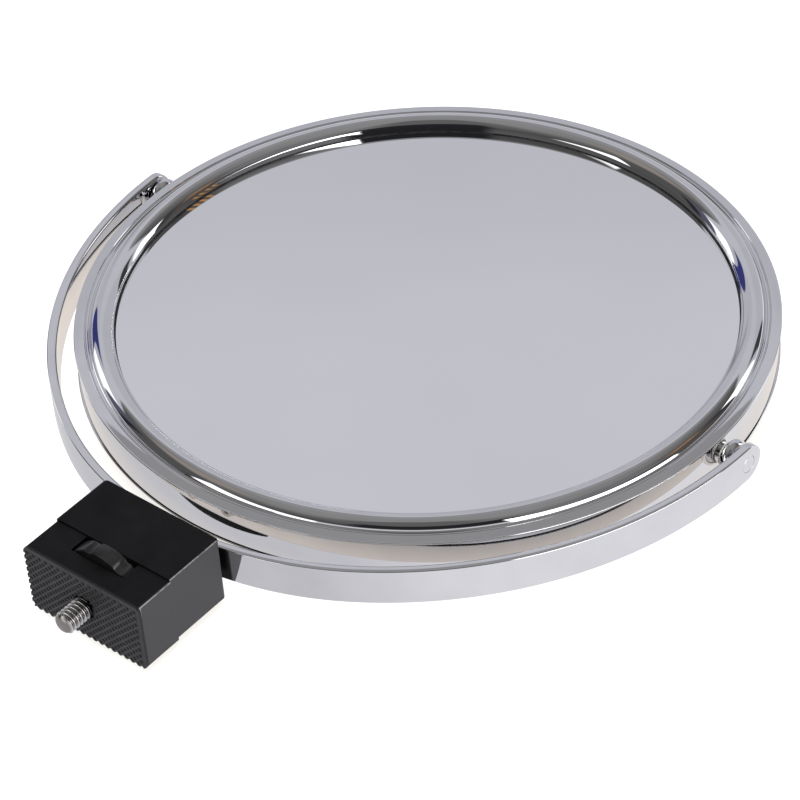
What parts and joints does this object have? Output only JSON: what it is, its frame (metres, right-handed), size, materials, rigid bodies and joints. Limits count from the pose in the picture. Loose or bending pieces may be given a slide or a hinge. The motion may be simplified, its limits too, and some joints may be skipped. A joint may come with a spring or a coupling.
{
  "type": "pivoting shaving mirror",
  "caption": "Round double-sided shaving mirror that tilts in a bent yoke, on a black block with a captive threaded stud and a thumbwheel.",
  "frame": {"origin": "on the stud's axis, in the plane of the grip pad's front face", "axes": "-Y along the stud, out of the pad; +Y from the block towards the mirror; +Z normal to the yoke's flat, towards the plain mirror; +X along the pivots, to the right seen from the block"},
  "size_m": [0.216, 0.2506, 0.026],
  "materials": {
    "chrome": "polished chrome plate",
    "black_anodised": "satin black anodised",
    "rubber": "moulded, matt, ribbed",
    "steel": "bright machined",
    "black_plastic": "moulded satin",
    "mirror": "silvered glass",
    "nylon": "natural nylon",
    "fibre_board": "pressed hardboard"
  },
  "bodies": {
    "frame": {"yoke": "chrome", "rear_block": "black_anodised", "front_block": "black_anodised", "grip_pad": "rubber", "block_screws": "steel", "yoke_screws": "steel", "thrust_washers": "nylon", "right_pivot_pin": "chrome", "right_pivot_ball": "chrome", "right_friction_washer": "nylon", "left_pivot_pin": "chrome", "left_pivot_ball": "chrome", "left_friction_washer": "nylon"},
    "stud_wheel": {"stud": "steel", "thumbwheel": "black_plastic", "wheel_grub_screw": "steel"},
    "mirror_head": {"front_bezel": "chrome", "rear_bezel": "chrome", "drum_band": "chrome", "plain_mirror": "mirror", "magnifying_mirror": "mirror", "spacer_ring": "nylon", "backing_board": "fibre_board", "right_pivot_boss": "chrome", "left_pivot_boss": "chrome"}
  },
  "joints": [
    {"name": "mirror_tilt", "type": "hinge", "parent": "frame", "child": "mirror_head", "pos_m": [0, 0.144, 0], "axis": [1, 0, 0], "continuous": true},
    {"name": "stud_spin", "type": "hinge", "parent": "frame", "child": "stud_wheel", "pos_m": [0, 0, 0], "axis": [0, -1, 0], "continuous": true}
  ]
}
